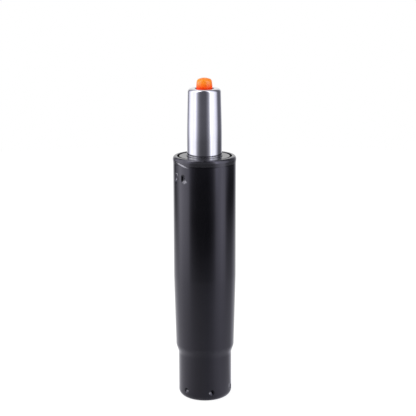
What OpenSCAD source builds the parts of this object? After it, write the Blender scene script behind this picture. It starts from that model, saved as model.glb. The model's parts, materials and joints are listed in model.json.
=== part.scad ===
// Chair gas lift cylinder: a black column that plugs into the chair base, and a plated gas
// cylinder that slides and turns in it. The origin is the centre of the column's foot, +Z up.

/* [Overall] */
// Height of the outer column
column_h = 200; // [185:1:225]
// Overall length with the lift at its lowest
closed_len = 250; // [244:1:300]
// Travel of the lift from lowest to highest
lift_travel = 100; // [60:1:115]
// Height of the lift above its lowest position, as modelled
shown_lift = 12; // [0:1:50]
// Half angle of the tapers at both ends, in degrees
taper_angle = 1.4378; // [1:0.05:1.8]

/* [Column] */
// Outer diameter of the column
column_d = 50; // [48:0.5:56]
// Wall of the column
column_wall = 2; // [1.5:0.1:2.4]
// Length of the taper that wedges in the chair base
base_taper_len = 57; // [40:1:75]
// Outer diameter of the neck below the taper
neck_d = 43; // [40:0.5:46]
// Height of the straight neck
neck_h = 36; // [20:1:45]
// Height of the rounded step from the neck to the taper
step_h = 9; // [5:0.5:14]
// Outer radius of the rolled foot
foot_round = 5; // [3:0.25:5.5]
// Diameter of the opening in the foot
foot_bore_d = 28; // [24:1:32]
// Height of the rim that is rolled in over the bush
rim_h = 5; // [3:0.25:6]
// Diameter of the opening in the rim
rim_bore_d = 43.6; // [42.5:0.1:45]
// Rise of the bead round the rim above the column's side
rim_bead = 0.3; // [0.1:0.05:0.6]
// Width of the rim's rounded edge
rim_round_w = 1.9; // [1:0.1:2.2]
// Height of the rim's rounded edge
rim_round_h = 2.6; // [1.5:0.1:2.8]

/* [Crimps] */
// Number of dimples that hold the base plate
dimple_count = 6; // [3:1:8]
// Diameter of the punch that makes a dimple
dimple_d = 4.4; // [3:0.2:5]
// Depth of a dimple
dimple_depth = 1; // [0.6:0.1:1.2]
// Turn of the first dimple from +X, in degrees
dimple_turn = -75; // [-90:1:90]
// Width of the punch that makes a dent at the bush
dent_w = 5.2; // [4:0.2:6]
// Straight length of a dent
dent_len = 3; // [1:0.5:5]
// Depth of a dent
dent_depth = 1.2; // [0.8:0.1:1.4]
// Distance of the dents below the top of the column
dent_drop = 15.5; // [12:0.5:17]
// Angle between the two dents of a pair, in degrees
dent_pitch = 22; // [20:1:40]
// Turn of the middle of the first pair from +X, in degrees
dent_turn = -143; // [-180:1:180]

/* [Guide bush] */
// Length of the guide bush below its shoulder
bush_len = 84; // [70:1:95]
// Diameter of the bush's head, inside the rim
bush_head_d = 41; // [38:0.5:42]
// Depth of the head below the top of the column
bush_head_drop = 0.5; // [0.2:0.1:1.5]
// Thickness of the bush's sleeve
bush_sleeve_t = 2.8; // [2:0.2:4]
// Height of the bush's upper band
bush_top_band = 23; // [21:1:30]
// Height of the bush's lower band
bush_low_band = 10; // [6:1:16]
// Number of ribs between the bands
rib_count = 8; // [4:1:12]
// Thickness of a rib
rib_t = 2; // [1.5:0.25:3]

/* [Base plate] */
// Thickness of the base plate at its edge
plate_t = 4.4; // [3.5:0.1:6]
// Rise of the hub above the plate
hub_rise = 1.6; // [0.5:0.1:3]
// Depth of the recess under the hub
hub_recess = 2; // [1.8:0.1:3]
// Diameter of the recess under the hub
recess_d = 19; // [18:0.5:24]

/* [Thrust bearing] */
// Diameter of a bearing ball
ball_d = 4; // [3:0.25:4.5]
// Number of balls
ball_count = 10; // [6:1:11]
// Diameter of the circle through the balls
ball_circle_d = 17; // [16.5:0.5:18]
// Outer diameter of the races
race_d = 24; // [23:0.5:28]
// Thickness of a race
race_t = 1.6; // [1.2:0.1:2.5]
// Depth of the track in a race
track_depth = 0.5; // [0.3:0.05:0.7]
// Thickness of the washer between the upper race and the rod's shoulder
thrust_washer_t = 2; // [1:0.25:4]
// Height of the rubber end bumper
bumper_h = 6; // [3:0.5:10]
// Diameter of the rubber end bumper
bumper_d = 24; // [20:0.5:27]

/* [Piston rod] */
// Diameter of the piston rod
rod_d = 10; // [9:0.5:11]
// Diameter of the rod's lower journal and of the stud that carries the piston
journal_d = 8; // [7:0.25:8.5]
// Thickness of the retaining clip
clip_t = 1; // [0.8:0.1:1.2]
// Outer diameter of the retaining clip
clip_d = 13; // [11:0.5:16]
// Thickness of the washer above the clip
clip_washer_t = 1; // [0.8:0.1:1.1]
// Length of the piston
piston_len = 12; // [9:0.5:15]
// Height of the piston's seal
piston_seal_h = 3; // [2:0.25:4]
// Thickness of the washer above the piston
piston_washer_t = 1.5; // [1:0.25:2.5]
// Width across flats of the piston nut
nut_af = 13; // [12:0.5:15]
// Height of the piston nut
nut_h = 5; // [3:0.5:6.5]

/* [Gas cylinder] */
// Outer diameter of the pressure tube
tube_d = 28; // [27:0.5:31]
// Wall of the pressure tube
tube_wall = 1.5; // [1.2:0.1:1.8]
// Length of the taper that wedges in the seat mechanism
seat_taper_len = 36.7; // [25:0.5:37]
// Outer radius of the tube's rounded ends
tube_round = 2.7; // [2.2:0.1:3.2]
// Diameter of the opening in the tube's top
top_bore_d = 15.2; // [14.5:0.1:18]
// Diameter of the opening in the tube's lower end
low_bore_d = 16; // [13:0.5:18]
// Outer diameter of the inner cylinder
inner_d = 21; // [20:0.25:22]
// Wall of the inner cylinder
inner_wall = 1; // [0.8:0.1:1.4]
// Thickness of the washer at the tube's lower end
end_washer_t = 2; // [1:0.25:3]
// Height of the rod seal
rod_seal_h = 6; // [4:0.5:8]
// Thickness of the ring that backs the rod seal
seal_retainer_t = 2; // [1:0.25:3]
// Length of the rod guide below its spigot
guide_len = 10; // [7:0.5:14]
// Length of the spigot that centres the inner cylinder
spigot_len = 4; // [3:0.25:6]
// Width of the gas slots at the foot of the inner cylinder
gas_slot_w = 3; // [2:0.25:4]
// Number of gas slots, and of ports in the valve
gas_slot_count = 4; // [3:1:6]

/* [Valve and button] */
// Diameter of the release button at its base
button_d = 12.6; // [11.5:0.1:13.5]
// Height of the button above the tube
button_proud = 8.6; // [7:0.1:12]
// Travel of the button when it is pressed
button_travel = 4; // [2:0.25:5]
// Depth of the button inside the tube
button_in = 5; // [4:0.25:7]
// Radius of the button's rounded edge
button_round = 3; // [1.5:0.1:3.4]
// Rise of the button's domed top
button_dome = 0.6; // [0.3:0.1:1]
// Diameter of the valve pin
pin_d = 5; // [4:0.25:6]
// Diameter of the valve pin's neck
pin_neck_d = 3.2; // [2.4:0.2:3.6]
// Diameter of the valve pin's head
pin_head_d = 8.4; // [7.5:0.1:10]
// Thickness of the valve pin's head
pin_head_t = 1.6; // [1:0.1:3]
// Thickness of the seal on the valve pin's head
poppet_seal_t = 1; // [0.6:0.1:1.6]
// Thickness of the flange at the foot of the valve cap
cap_flange_t = 2; // [1.2:0.1:3]
// Diameter of the pocket that holds the pin seals
pin_pocket_d = 10; // [9:0.25:12]
// Thickness of the ring between the pin seals
pin_spacer_t = 1.2; // [0.8:0.1:2]
// Length of the valve body that fits the pressure tube
valve_land = 14; // [12.5:0.5:18]
// Length of the valve body that carries the gas ports
valve_waist = 8; // [6:0.5:10]
// Length of the valve body that plugs into the inner cylinder
valve_plug = 8; // [6:0.5:10]
// Diameter of a gas port
port_d = 2.4; // [1.6:0.2:3]
// Depth of the grooves for the valve and guide seals
groove_depth = 1.8; // [1.4:0.1:2]

/* [Clearances] */
// Gap round a piece that is seated in another
fit_gap = 0.1; // [0.05:0.01:0.15]
// Gap round a shaft that turns or slides
run_gap = 0.08; // [0.05:0.01:0.1]
// Gap round a seal that slides on a shaft or in a bore
seal_gap = 0.05; // [0.02:0.01:0.08]
// Gap between end faces that must not rub
face_gap = 0.3; // [0.2:0.05:0.5]

/* [Hidden] */
$fn = 96;

// Radii that several pieces share
column_r = column_d / 2;
column_in_r = column_r - column_wall;
neck_r = neck_d / 2;
neck_in_r = neck_r - column_wall;
rim_bore_r = rim_bore_d / 2;
rod_r = rod_d / 2;
journal_r = journal_d / 2;
tube_r = tube_d / 2;
tube_in_r = tube_r - tube_wall;
inner_r = inner_d / 2;
inner_bore_r = inner_r - inner_wall;
ball_r = ball_d / 2;
ball_circle_r = ball_circle_d / 2;
button_r = button_d / 2;
pin_r = pin_d / 2;
taper_slope = tan(taper_angle);
edge = 0.4;

// Heights of the column
taper_foot_z = neck_h + step_h;
taper_top_z = taper_foot_z + base_taper_len;
taper_foot_r = column_r - base_taper_len * taper_slope;
rim_r = column_r + rim_bead;

// Dents that lock the bush: the punch, and the skin that it pushes in
dent_r = dent_w / 2;
dent_z = column_h - dent_drop;
dent_axis_r = column_r + dent_r - dent_depth;
dent_skin_r = dent_r + column_wall * 0.9;
dent_tip_r = dent_axis_r - dent_skin_r;
dent_half_h = dent_len / 2 + sqrt(pow(dent_skin_r, 2) - pow(dent_axis_r - column_in_r, 2)) + face_gap;

// Guide bush
bush_top = column_h - rim_h - face_gap;
bush_low = bush_top - bush_len;
bush_r = column_in_r - fit_gap;
bush_bore_r = tube_r + run_gap;
bush_head_top = column_h - bush_head_drop;

// Base plate, held between the rolled foot and the dimples
plate_z = column_wall;
plate_top = plate_z + plate_t;
plate_r = neck_in_r - fit_gap;
plate_bevel = 0.8;
hub_under = plate_z + hub_recess;
hub_top = plate_top + hub_rise;
hub_r = race_d / 2 + plate_bevel;
dimple_r = dimple_d / 2;
dimple_axis_r = neck_r + dimple_r - dimple_depth;
dimple_skin_r = dimple_r + column_wall * 0.9;
dimple_half_h = sqrt(max(0, pow(dimple_skin_r, 2) - pow(dimple_axis_r - neck_in_r, 2)));
dimple_z = plate_top - plate_bevel + dimple_half_h;

// Thrust bearing, from the hub up to the rod's shoulder
track_r = ball_r + seal_gap;
race_bore_r = journal_r + face_gap;
ball_z = hub_top + race_t + track_r - track_depth;
upper_race_z = ball_z + track_r - track_depth;
cage_gap = face_gap;
cage_h = 2 * (track_r - track_depth - cage_gap);
cage_wall = 0.6;
cage_half_w = ball_r + fit_gap + cage_wall;
washer_z = upper_race_z + race_t;
shoulder_z = washer_z + thrust_washer_t;

// Clip below the hub
clip_washer_z = hub_under - fit_gap - clip_washer_t;
clip_z = clip_washer_z - clip_t;
rod_end_z = clip_z - 1.1;
clip_seat_r = journal_r - 1;

// Pressure tube and its lower end, at the lowest position of the lift
tube_low = shoulder_z + bumper_h + face_gap;
tube_top = closed_len - button_proud;
tube_taper_z = tube_top - seat_taper_len;
end_washer_z = tube_low + tube_wall;
rod_seal_z = end_washer_z + end_washer_t;
seal_retainer_z = rod_seal_z + rod_seal_h;
guide_z = seal_retainer_z + seal_retainer_t;
inner_low = guide_z + guide_len;
guide_top = inner_low + spigot_len;
pack_r = tube_in_r - fit_gap;
spigot_r = inner_bore_r - fit_gap;

// Piston, which stops on the rod guide when the lift is at its highest
piston_z = guide_top + lift_travel + face_gap;
piston_r = inner_bore_r - run_gap;
stud_top = piston_z + piston_len + piston_washer_t + nut_h + 1.5;

// Valve, hung under the tube's top
function tube_bore_at(z) = tube_in_r - taper_slope * max(0, z - tube_taper_z);
cap_top = tube_top - tube_wall - fit_gap;
cap_floor = tube_top - button_in - button_travel - face_gap;
valve_top = cap_floor - cap_flange_t;
cap_r = tube_bore_at(cap_top) - fit_gap;
cap_bevel = tube_round - tube_wall + fit_gap;
land_r = tube_bore_at(valve_top) - fit_gap;
land_low = valve_top - valve_land;
plug_top = land_low - valve_waist;
valve_low = plug_top - valve_plug;
pin_bore_r = pin_r + run_gap;
pin_pocket_r = pin_pocket_d / 2;
pin_seal_r = (pin_pocket_r - pin_r - 2 * seal_gap) / 2;
pin_seal_mid_r = pin_r + seal_gap + pin_seal_r;
pin_pocket_low = valve_top - 4 * pin_seal_r - pin_spacer_t;
groove_ring_r = groove_depth / 2;
tube_seal_z = valve_top - valve_land + groove_depth + 1.5;
cylinder_seal_z = plug_top - valve_plug / 2;
poppet_top = valve_low - seal_gap;
head_top = poppet_top - poppet_seal_t;
pin_stem_low = land_low + 1;
pin_top = tube_top + button_proud / 4;
port_z = plug_top + valve_waist / 2;

// Points on an arc from angle a0 to a1, about [r, z]
function arc(r, z, size, a0, a1, steps = 6) =
    [for (i = [0:steps]) let (a = a0 + (a1 - a0) * i / steps) [r + size * cos(a), z + size * sin(a)]];

// Points of the smooth step from the neck up to the taper, set in by inset
function step_curve(inset, steps = 12) =
    [for (i = [0:steps]) let (t = i / steps)
        [neck_r + (taper_foot_r - neck_r) * (1 - cos(180 * t)) / 2 - inset, neck_h + step_h * t]];

// Points of the rim, from the foot of its bead over the rounded edge to the opening
function rim_curve(steps = 8) =
    concat([[column_r, column_h - rim_h - 2 * rim_bead], [rim_r, column_h - rim_h]],
           [for (i = [0:steps]) let (a = 90 * i / steps)
               [rim_r - rim_round_w * (1 - cos(a)), column_h - rim_round_h * (1 - sin(a))]],
           [[rim_bore_r + edge, column_h]]);

function reversed(list) = [for (i = [len(list) - 1:-1:0]) list[i]];

module turned(points) { rotate_extrude() polygon(points); }

module ring(bore_r, outer_r, z, h) {
    turned([[bore_r, z], [outer_r, z], [outer_r, z + h], [bore_r, z + h]]);
}

module o_ring(mid_r, section_r, z) {
    rotate_extrude() translate([mid_r, z]) circle(r = section_r, $fn = 48);
}

// A square groove cut into the outside of a round piece
module groove(bottom_r, mid_z, h) {
    ring(bottom_r, bottom_r + 3 * groove_depth, mid_z - h / 2, h);
}

// Repeats a child evenly round the axis
module around(count, first = 0) {
    for (i = [0:count - 1]) rotate(first + 360 * i / count) children();
}

module raised() { translate([0, 0, shown_lift]) children(); }

// Upright punch with round ends
module punch(r, straight) {
    translate([0, 0, -straight / 2]) cylinder(r = r, h = straight);
    for (s = [-1, 1]) translate([0, 0, s * straight / 2]) sphere(r = r);
}

module dent_places() {
    for (pair = [0, 180], side = [-0.5, 0.5])
        rotate(dent_turn + pair + side * dent_pitch) translate([dent_axis_r, 0, dent_z]) children();
}

module dimple_places() {
    around(dimple_count, dimple_turn) translate([dimple_axis_r, 0, dimple_z]) children();
}

module column_shell() {
    outer = concat([[foot_bore_d / 2, 0]],
                   arc(neck_r - foot_round, foot_round, foot_round, -90, 0),
                   step_curve(0),
                   [[column_r, taper_top_z]],
                   rim_curve());
    inner = concat([[foot_bore_d / 2, column_wall]],
                   arc(neck_r - foot_round, foot_round, foot_round - column_wall, -90, 0),
                   step_curve(column_wall),
                   [[column_in_r, taper_top_z],
                    [column_in_r, column_h - rim_h],
                    [rim_bore_r, column_h - column_wall],
                    [rim_bore_r, column_h - edge]]);
    turned(concat(outer, reversed(inner)));
}

// The skin that the punches push in, inside the wall
module column_nibs() {
    intersection() {
        dent_places() punch(dent_skin_r, dent_len);
        ring(rod_d, column_in_r + column_wall / 2, dent_z - dent_len - 2 * dent_skin_r,
             2 * dent_len + 4 * dent_skin_r);
    }
    intersection() {
        dimple_places() sphere(r = dimple_skin_r);
        ring(rod_d, neck_in_r + column_wall / 2, dimple_z - dimple_skin_r, 2 * dimple_skin_r);
    }
}

module column_tube() {
    color("#1c1c1f") difference() {
        union() {
            column_shell();
            column_nibs();
        }
        dent_places() punch(dent_r, dent_len);
        dimple_places() sphere(r = dimple_r);
    }
}

module guide_bush() {
    sleeve_r = bush_bore_r + bush_sleeve_t;
    color("#55565a") {
        difference() {
            turned([[bush_bore_r, bush_low + edge], [bush_bore_r + edge, bush_low],
                    [bush_r, bush_low], [bush_r, bush_low + bush_low_band],
                    [sleeve_r, bush_low + bush_low_band], [sleeve_r, bush_top - bush_top_band],
                    [bush_r, bush_top - bush_top_band], [bush_r, bush_top],
                    [bush_head_d / 2, bush_top], [bush_head_d / 2, bush_head_top - edge],
                    [bush_head_d / 2 - edge, bush_head_top], [bush_bore_r + 2 * edge, bush_head_top],
                    [bush_bore_r, bush_head_top - 2 * edge]]);
            ring(dent_tip_r - face_gap, column_r, dent_z - dent_half_h, 2 * dent_half_h);
        }
        around(rib_count)
            translate([sleeve_r - edge, -rib_t / 2, bush_low + bush_low_band])
                cube([bush_r - 2 * edge - sleeve_r, rib_t, bush_len - bush_low_band - bush_top_band]);
    }
}

module base_plate() {
    bore_r = journal_r + run_gap;
    seat_round = foot_round - column_wall;
    color("#8f9296") turned([
        [bore_r, hub_under], [recess_d / 2, hub_under], [recess_d / 2, plate_z],
        [plate_r - seat_round, plate_z], [plate_r, plate_z + seat_round - edge],
        [plate_r, plate_top - plate_bevel], [plate_r - plate_bevel, plate_top],
        [hub_r + hub_rise, plate_top], [hub_r, hub_top], [bore_r, hub_top]]);
}

// A race from z up, with the track of the balls in it
module race(z) {
    difference() {
        ring(race_bore_r, race_d / 2, z, race_t);
        o_ring(ball_circle_r, track_r, ball_z);
    }
}

module lower_race() { color("#b9bcc0") race(hub_top); }

module upper_race() { color("#b9bcc0") race(upper_race_z); }

module ball_cage() {
    color("#c9a14a") difference() {
        ring(ball_circle_r - cage_half_w, ball_circle_r + cage_half_w, ball_z - cage_h / 2, cage_h);
        around(ball_count) translate([ball_circle_r, 0, ball_z - cage_h])
            cylinder(r = ball_r + fit_gap, h = 2 * cage_h);
    }
}

module bearing_balls() {
    color("#d5d7da") around(ball_count) translate([ball_circle_r, 0, ball_z]) sphere(r = ball_r);
}

module thrust_washer() {
    color("#9a9da1") ring(journal_r + fit_gap, race_d / 2, washer_z, thrust_washer_t);
}

module end_bumper() {
    bumper_r = bumper_d / 2;
    bore_r = rod_r + fit_gap;
    color("#202022") turned(concat(
        [[bore_r, shoulder_z], [bumper_r, shoulder_z]],
        arc(bumper_r - 1, shoulder_z + bumper_h - 1, 1, 0, 90),
        [[bore_r, shoulder_z + bumper_h]]));
}

module piston_rod() {
    color("#c4c7cb") turned([
        [0, rod_end_z], [journal_r - edge, rod_end_z], [journal_r, rod_end_z + edge],
        [journal_r, clip_z - seal_gap], [clip_seat_r, clip_z - seal_gap],
        [clip_seat_r, clip_washer_z], [journal_r, clip_washer_z],
        [journal_r, shoulder_z], [rod_r, shoulder_z], [rod_r, piston_z],
        [journal_r, piston_z], [journal_r, stud_top - edge], [journal_r - edge, stud_top],
        [0, stud_top]]);
}

module clip_washer() {
    color("#9a9da1") ring(journal_r + fit_gap, recess_d / 2 - 1, clip_washer_z, clip_washer_t);
}

module retaining_clip() {
    mouth = 1.7 * clip_seat_r;
    color("#3a3b3e") difference() {
        ring(clip_seat_r + seal_gap, clip_d / 2, clip_z, clip_t);
        translate([0, -mouth / 2, clip_z - 1]) cube([clip_d, mouth, clip_t + 2]);
        for (s = [-1, 1]) rotate(s * 115) translate([clip_d / 2, 0, clip_z - 1])
            cylinder(d = clip_d / 6, h = clip_t + 2);
    }
}

module piston() {
    mid_z = piston_z + piston_len / 2;
    bore_r = journal_r + fit_gap;
    color("#b3b6ba") difference() {
        turned([[bore_r, piston_z], [piston_r - edge, piston_z], [piston_r, piston_z + edge],
                [piston_r, piston_z + piston_len - edge], [piston_r - edge, piston_z + piston_len],
                [bore_r, piston_z + piston_len]]);
        groove(piston_r - groove_depth, mid_z, piston_seal_h + 2 * seal_gap);
    }
}

module piston_seal() {
    mid_z = piston_z + piston_len / 2;
    low = mid_z - piston_seal_h / 2;
    high = mid_z + piston_seal_h / 2;
    bore_r = piston_r - groove_depth + seal_gap;
    lip_r = inner_bore_r - seal_gap;
    color("#17181a") turned([[bore_r, low], [lip_r - edge, low], [lip_r, low + edge],
                             [lip_r, high - edge], [lip_r - edge, high], [bore_r, high]]);
}

module piston_washer() {
    color("#9a9da1")
        ring(journal_r + fit_gap, piston_r - 1, piston_z + piston_len, piston_washer_t);
}

module piston_nut() {
    z = piston_z + piston_len + piston_washer_t;
    color("#85888c") difference() {
        translate([0, 0, z]) cylinder(d = nut_af / cos(30), h = nut_h, $fn = 6);
        translate([0, 0, z - 1]) cylinder(r = journal_r + seal_gap, h = nut_h + 2);
    }
}

module pressure_tube() {
    top_r = tube_r - seat_taper_len * taper_slope;
    outer = concat([[low_bore_d / 2, tube_low]],
                   arc(tube_r - tube_round, tube_low + tube_round, tube_round, -90, 0),
                   [[tube_r, tube_taper_z]],
                   arc(top_r - tube_round, tube_top - tube_round, tube_round, 0, 90, 8),
                   [[top_bore_d / 2 + edge, tube_top], [top_bore_d / 2, tube_top - edge]]);
    in_round = tube_round - tube_wall;
    inner = concat([[low_bore_d / 2, tube_low + tube_wall]],
                   arc(tube_r - tube_round, tube_low + tube_round, in_round, -90, 0),
                   [[tube_in_r, tube_taper_z]],
                   arc(top_r - tube_round, tube_top - tube_round, in_round, 0, 90),
                   [[top_bore_d / 2, tube_top - tube_wall]]);
    color("#dfe1e4") raised() turned(concat(outer, reversed(inner)));
}

module end_washer() {
    bevel = tube_round - tube_wall;
    bore_r = rod_r + face_gap;
    color("#9a9da1") raised() turned([
        [bore_r, end_washer_z], [pack_r - bevel, end_washer_z],
        [pack_r, end_washer_z + min(bevel, end_washer_t - fit_gap)],
        [pack_r, end_washer_z + end_washer_t], [bore_r, end_washer_z + end_washer_t]]);
}

// Two lips on the rod, with a hollow between them
module rod_seal() {
    lip_r = rod_r + seal_gap;
    hollow_r = rod_r + 1.2;
    top = rod_seal_z + rod_seal_h;
    color("#17181a") raised() turned([
        [lip_r, rod_seal_z], [pack_r, rod_seal_z], [pack_r, top], [lip_r, top],
        [lip_r, top - 1], [hollow_r, top - 1.8], [hollow_r, rod_seal_z + 1.8],
        [lip_r, rod_seal_z + 1]]);
}

module seal_retainer() {
    color("#b9bcc0") raised() ring(rod_r + face_gap, pack_r, seal_retainer_z, seal_retainer_t);
}

module rod_guide() {
    bore_r = rod_r + run_gap;
    color("#7d8085") raised() difference() {
        turned([[bore_r, guide_z], [pack_r, guide_z], [pack_r, inner_low], [spigot_r, inner_low],
                [spigot_r, guide_top - edge], [spigot_r - edge, guide_top], [bore_r, guide_top]]);
        groove(pack_r - groove_depth, guide_z + guide_len / 2, groove_depth + 2 * seal_gap);
        around(gas_slot_count) translate([(bore_r + spigot_r) / 2, -gas_slot_w / 2, inner_low])
            cube([inner_r, gas_slot_w, spigot_len + 1]);
    }
}

module guide_seal() {
    color("#17181a") raised()
        o_ring(pack_r - groove_ring_r + seal_gap, groove_ring_r, guide_z + guide_len / 2);
}

module inner_cylinder() {
    color("#aeb2b7") raised() difference() {
        ring(inner_bore_r, inner_r, inner_low, plug_top - inner_low);
        around(gas_slot_count) translate([spigot_r - 1, -gas_slot_w / 2, inner_low - 1])
            cube([inner_r, gas_slot_w, 1 + spigot_len / 2]);
    }
}

module valve_body() {
    plug_r = inner_bore_r - fit_gap;
    color("#c7b07a") raised() difference() {
        turned([[pin_bore_r, valve_low], [plug_r - edge, valve_low], [plug_r, valve_low + edge],
                [plug_r, plug_top], [inner_r, plug_top], [inner_r, land_low], [land_r, land_low],
                [land_r, valve_top], [pin_pocket_r, valve_top], [pin_pocket_r, pin_pocket_low],
                [pin_bore_r, pin_pocket_low]]);
        groove(land_r - groove_depth, tube_seal_z, groove_depth + 2 * seal_gap);
        groove(plug_r - groove_depth, cylinder_seal_z, groove_depth + 2 * seal_gap);
        around(gas_slot_count) translate([0, 0, port_z]) rotate([0, 90, 0])
            cylinder(d = port_d, h = tube_d);
    }
}

module tube_seal() {
    color("#17181a") raised() o_ring(land_r - groove_ring_r + seal_gap, groove_ring_r, tube_seal_z);
}

module cylinder_seal() {
    plug_r = inner_bore_r - fit_gap;
    color("#17181a") raised() o_ring(plug_r - groove_ring_r + seal_gap, groove_ring_r, cylinder_seal_z);
}

module pin_seal_lower() {
    color("#17181a") raised() o_ring(pin_seal_mid_r, pin_seal_r, pin_pocket_low + pin_seal_r);
}

module pin_seal_spacer() {
    color("#b9bcc0") raised()
        ring(pin_r + 2 * fit_gap, pin_pocket_r - fit_gap, pin_pocket_low + 2 * pin_seal_r, pin_spacer_t);
}

module pin_seal_upper() {
    color("#17181a") raised() o_ring(pin_seal_mid_r, pin_seal_r, valve_top - pin_seal_r);
}

module valve_cap() {
    guide_r = button_r + 2 * fit_gap;
    hole_r = pin_r + 2 * fit_gap;
    color("#141416") raised() turned([
        [hole_r, valve_top], [cap_r, valve_top], [cap_r, cap_top - cap_bevel],
        [cap_r - cap_bevel, cap_top], [guide_r + edge, cap_top], [guide_r, cap_top - edge],
        [guide_r, cap_floor], [hole_r, cap_floor]]);
}

module valve_pin() {
    neck_r = pin_neck_d / 2;
    head_r = pin_head_d / 2;
    color("#c4c7cb") raised() turned([
        [0, head_top - pin_head_t], [head_r - edge, head_top - pin_head_t],
        [head_r, head_top - pin_head_t + edge], [head_r, head_top], [neck_r, head_top],
        [neck_r, pin_stem_low], [pin_r, pin_stem_low + pin_r - neck_r],
        [pin_r, pin_top - edge], [pin_r - edge, pin_top], [0, pin_top]]);
}

module poppet_seal() {
    color("#17181a") raised()
        ring(pin_neck_d / 2 + seal_gap, pin_head_d / 2 - edge, head_top, poppet_seal_t);
}

// Button with a slight draft, a rounded edge and a low dome, open below for the pin
module release_button() {
    draft = 0.35;
    side_top = tube_top + button_proud - button_dome - button_round;
    crown_r = button_r - draft - button_round;
    socket_r = pin_r + seal_gap;
    dome = [for (i = [1:5]) let (t = i / 5)
        [crown_r * (1 - t), side_top + button_round + button_dome * (1 - pow(1 - t, 2))]];
    color("#f36a10") raised() turned(concat(
        [[socket_r, tube_top - button_in], [button_r - edge, tube_top - button_in],
         [button_r, tube_top - button_in + edge], [button_r, tube_top]],
        arc(crown_r, side_top, button_round, 0, 90, 8),
        dome,
        [[0, pin_top + seal_gap], [socket_r, pin_top + seal_gap]]));
}

column_tube();
guide_bush();
base_plate();
lower_race();
ball_cage();
bearing_balls();
upper_race();
thrust_washer();
end_bumper();
piston_rod();
clip_washer();
retaining_clip();
piston();
piston_seal();
piston_washer();
piston_nut();
pressure_tube();
end_washer();
rod_seal();
seal_retainer();
rod_guide();
guide_seal();
inner_cylinder();
valve_body();
tube_seal();
cylinder_seal();
pin_seal_lower();
pin_seal_spacer();
pin_seal_upper();
valve_cap();
valve_pin();
poppet_seal();
release_button();
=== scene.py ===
import json
import math

import bmesh
import bpy
from mathutils import Matrix, Vector


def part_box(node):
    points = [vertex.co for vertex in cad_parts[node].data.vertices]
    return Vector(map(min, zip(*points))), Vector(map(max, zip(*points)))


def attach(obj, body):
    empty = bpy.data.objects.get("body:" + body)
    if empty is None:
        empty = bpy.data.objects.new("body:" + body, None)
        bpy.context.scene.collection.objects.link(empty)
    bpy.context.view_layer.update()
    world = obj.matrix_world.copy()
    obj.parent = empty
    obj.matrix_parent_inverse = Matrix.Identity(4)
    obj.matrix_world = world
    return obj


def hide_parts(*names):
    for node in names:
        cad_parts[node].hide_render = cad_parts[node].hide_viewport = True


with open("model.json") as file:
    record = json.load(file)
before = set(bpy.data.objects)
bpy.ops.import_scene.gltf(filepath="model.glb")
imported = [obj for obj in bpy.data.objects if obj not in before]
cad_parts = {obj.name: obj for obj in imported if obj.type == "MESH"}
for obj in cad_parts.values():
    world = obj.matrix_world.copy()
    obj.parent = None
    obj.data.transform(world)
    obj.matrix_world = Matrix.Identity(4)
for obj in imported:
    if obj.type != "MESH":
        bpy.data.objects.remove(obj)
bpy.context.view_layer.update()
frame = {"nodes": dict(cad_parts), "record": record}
nodes = frame["nodes"]
scene = bpy.context.scene
scene.view_settings.view_transform = "Standard"
mm = 0.001


# camera
cameraSetup = {
    "lens": 104.60,       # mm
    "sensor": 36.0,       # mm
    "side": 2.663,        # mm, to the right of the column's axis
    "distance": 945.0,    # mm, in front of it
    "height": 369.9,      # mm, above the foot
    "pitch": 0.2215,      # radians, looking down
    "roll": -0.0023,      # radians
    "clip": (0.01, 50.0),
}


def makeCamera(s):
    data = bpy.data.cameras.new("studioCamera")
    data.lens = s["lens"]
    data.sensor_width = s["sensor"]
    data.clip_start, data.clip_end = s["clip"]
    camera = bpy.data.objects.new("studioCamera", data)
    camera.location = (s["side"] * mm, -s["distance"] * mm, s["height"] * mm)
    aim = Matrix.Rotation(math.pi / 2 - s["pitch"], 3, "X") @ Matrix.Rotation(s["roll"], 3, "Z")
    camera.rotation_euler = aim.to_euler()
    scene.collection.objects.link(camera)
    scene.camera = camera


makeCamera(cameraSetup)
print("camera set")


# node tree helpers
def addNode(tree, kind, values=None, **props):
    node = tree.nodes.new(kind)
    for key, value in props.items():
        setattr(node, key, value)
    for key, value in (values or {}).items():
        node.inputs[key].default_value = value
    return node


def wire(tree, *pairs):
    for out, into in pairs:
        tree.links.new(out, into)


def feed(tree, socket, value):
    # sets a number or a colour, links anything else
    if isinstance(value, (int, float)):
        socket.default_value = value
    elif isinstance(value, tuple):
        socket.default_value = (*value, 1.0)[:4]
    else:
        tree.links.new(value, socket)


def mathNode(tree, operation, *values, clamp=False):
    node = addNode(tree, "ShaderNodeMath", operation=operation, use_clamp=clamp)
    for socket, value in zip(node.inputs, values):
        feed(tree, socket, value)
    return node.outputs[0]


def plus(tree, a, b):
    return mathNode(tree, "ADD", a, b)


def minus(tree, a, b, clamp=False):
    return mathNode(tree, "SUBTRACT", a, b, clamp=clamp)


def times(tree, a, b, clamp=False):
    return mathNode(tree, "MULTIPLY", a, b, clamp=clamp)


def over(tree, a, b):
    return mathNode(tree, "DIVIDE", a, b)


def greater(tree, a, b):
    return mathNode(tree, "MAXIMUM", a, b)


def lengthOf(tree, a, b):
    return mathNode(tree, "SQRT", plus(tree, times(tree, a, a), times(tree, b, b)))


def mapRange(tree, value, low, high, toLow=0.0, toHigh=1.0, smooth=False):
    kind = "SMOOTHSTEP" if smooth else "LINEAR"
    node = addNode(tree, "ShaderNodeMapRange", interpolation_type=kind)
    names = ("Value", "From Min", "From Max", "To Min", "To Max")
    for name, part in zip(names, (value, low, high, toLow, toHigh)):
        feed(tree, node.inputs[name], part)
    return node.outputs["Result"]


def mixColour(tree, fac, a, b, blend="MIX"):
    node = addNode(tree, "ShaderNodeMix", data_type="RGBA", blend_type=blend)
    for place, value in ((0, fac), (6, a), (7, b)):     # the sockets of its colour kind
        feed(tree, node.inputs[place], value)
    return node.outputs[2]


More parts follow.
